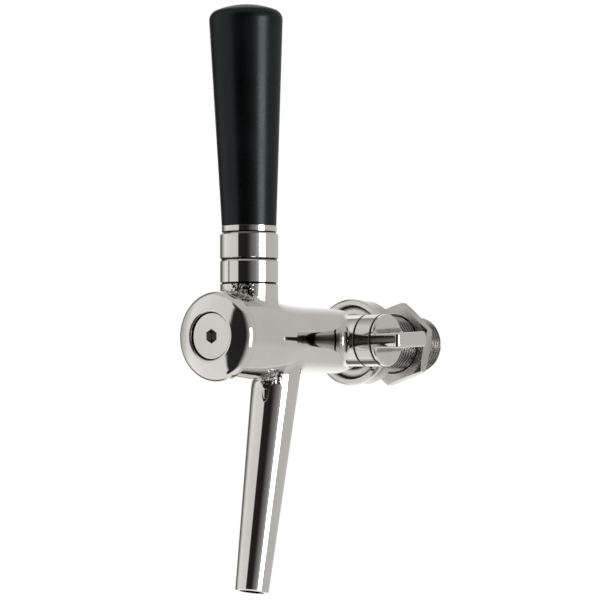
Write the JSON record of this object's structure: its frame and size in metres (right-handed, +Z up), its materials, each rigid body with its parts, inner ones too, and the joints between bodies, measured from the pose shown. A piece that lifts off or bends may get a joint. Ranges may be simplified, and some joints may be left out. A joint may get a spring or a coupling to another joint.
{
  "type": "flow control beer tap",
  "caption": "Wall-mounted beer tap with tilting handle, leaning spout, side flow-control knob and threaded tail with counter nut.",
  "frame": {"origin": "on the barrel's axis, in the plane of the wall, at the rear face of the slotted ring", "axes": "+Y along the barrel and threaded tail into the wall, +Z up along the handle, +X towards the flow knob"},
  "size_m": [0.0563, 0.1443, 0.2285],
  "materials": {
    "chrome": "polished mirror plating",
    "steel": "turned, satin",
    "inner_steel": "turned",
    "inner_brass": "turned, bare",
    "grip_plastic": "moulded, satin",
    "seat_plastic": "smooth white",
    "seal_rubber": "smooth black"
  },
  "bodies": {
    "tap": {"tap_body": "chrome", "front_cap": "chrome", "front_plug": "chrome", "front_plug_seal": "seal_rubber", "lock_ring": "chrome", "ball_seat": "seat_plastic", "ball_seal": "seal_rubber", "valve_sleeve": "inner_brass", "compensator_sleeve": "inner_brass", "tail_shank": "steel", "tail_seal": "seal_rubber", "wall_rosette": "chrome", "slotted_ring": "steel", "gland_ring": "chrome"},
    "lever": {"lever_stem": "inner_steel", "lever_skirt": "chrome", "handle_ring": "chrome", "handle_insert": "inner_brass", "handle_grip": "grip_plastic"},
    "piston": {"valve_piston": "inner_brass", "piston_front_seal": "seal_rubber", "piston_rear_seal": "seal_rubber", "valve_head_seal": "seal_rubber"},
    "flow_control": {"flow_spindle": "inner_steel", "flow_knob": "chrome", "spindle_seal": "seal_rubber"},
    "compensator": {"compensator_cone": "seat_plastic"},
    "counter_nut": {"counter_nut": "steel"}
  },
  "joints": [
    {"name": "lever_tilt", "type": "hinge", "parent": "tap", "child": "lever", "pos_m": [0, -0.0787, 0.0236], "axis": [1, 0, 0], "range_deg": [-10, 20]},
    {"name": "piston_slide", "type": "slide", "parent": "tap", "child": "piston", "axis": [0, 1, 0], "range_m": [-0.00343, 0.00685]},
    {"name": "flow_turn", "type": "hinge", "parent": "tap", "child": "flow_control", "pos_m": [0, -0.0227, 0], "axis": [1, 0, 0], "range_deg": [-45, 45]},
    {"name": "compensator_slide", "type": "slide", "parent": "tap", "child": "compensator", "axis": [0, 1, 0], "range_m": [-0.0015, 0.0015]},
    {"name": "counter_nut_slide", "type": "slide", "parent": "tap", "child": "counter_nut", "axis": [0, 1, 0], "range_m": [-0.02, 0.01]}
  ],
  "couplings": [
    {"joint": "piston_slide", "follows": "lever_tilt", "m_per_rad": 0.0196},
    {"joint": "compensator_slide", "follows": "flow_turn", "m_per_rad": 0.0019}
  ]
}
